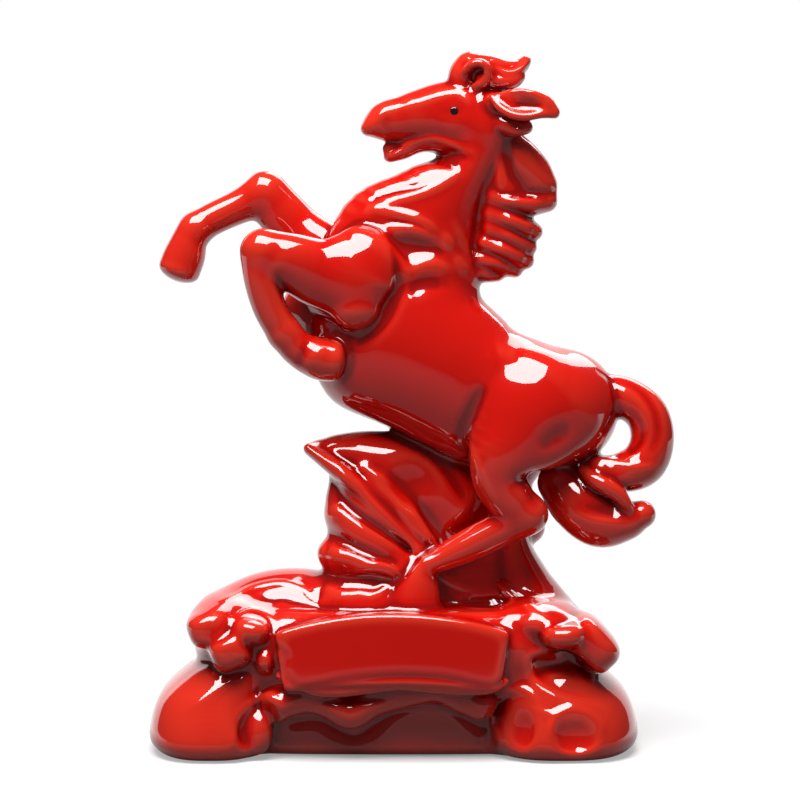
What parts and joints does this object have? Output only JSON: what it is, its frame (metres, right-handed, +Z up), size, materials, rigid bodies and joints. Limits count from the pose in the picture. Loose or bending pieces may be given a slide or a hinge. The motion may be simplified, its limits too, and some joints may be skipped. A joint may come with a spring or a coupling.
{
  "type": "ceramic horse figurine",
  "caption": "Glossy red glazed ceramic horse rearing over a rock on a hollow rocky plinth with a blank plaque.",
  "frame": {"origin": "middle of the figurine's box, on the surface that it stands on", "axes": "+Z up, -X the way the horse faces, -Y the front with the plaque (the horse's near side)"},
  "size_m": [0.2208, 0.0912, 0.2928],
  "materials": {
    "red_glaze": "gloss",
    "black_enamel": "gloss"
  },
  "bodies": {
    "root": {"plinth": "red_glaze", "plaque_panel": "red_glaze", "rock_outcrop": "red_glaze", "torso": "red_glaze", "head_and_neck": "red_glaze", "ear_near": "red_glaze", "ear_far": "red_glaze", "forelock": "red_glaze", "mane": "red_glaze", "near_foreleg": "red_glaze", "far_foreleg": "red_glaze", "near_hind_leg": "red_glaze", "far_hind_leg": "red_glaze", "tail": "red_glaze", "eye_near": "black_enamel", "eye_far": "black_enamel"}
  },
  "joints": []
}
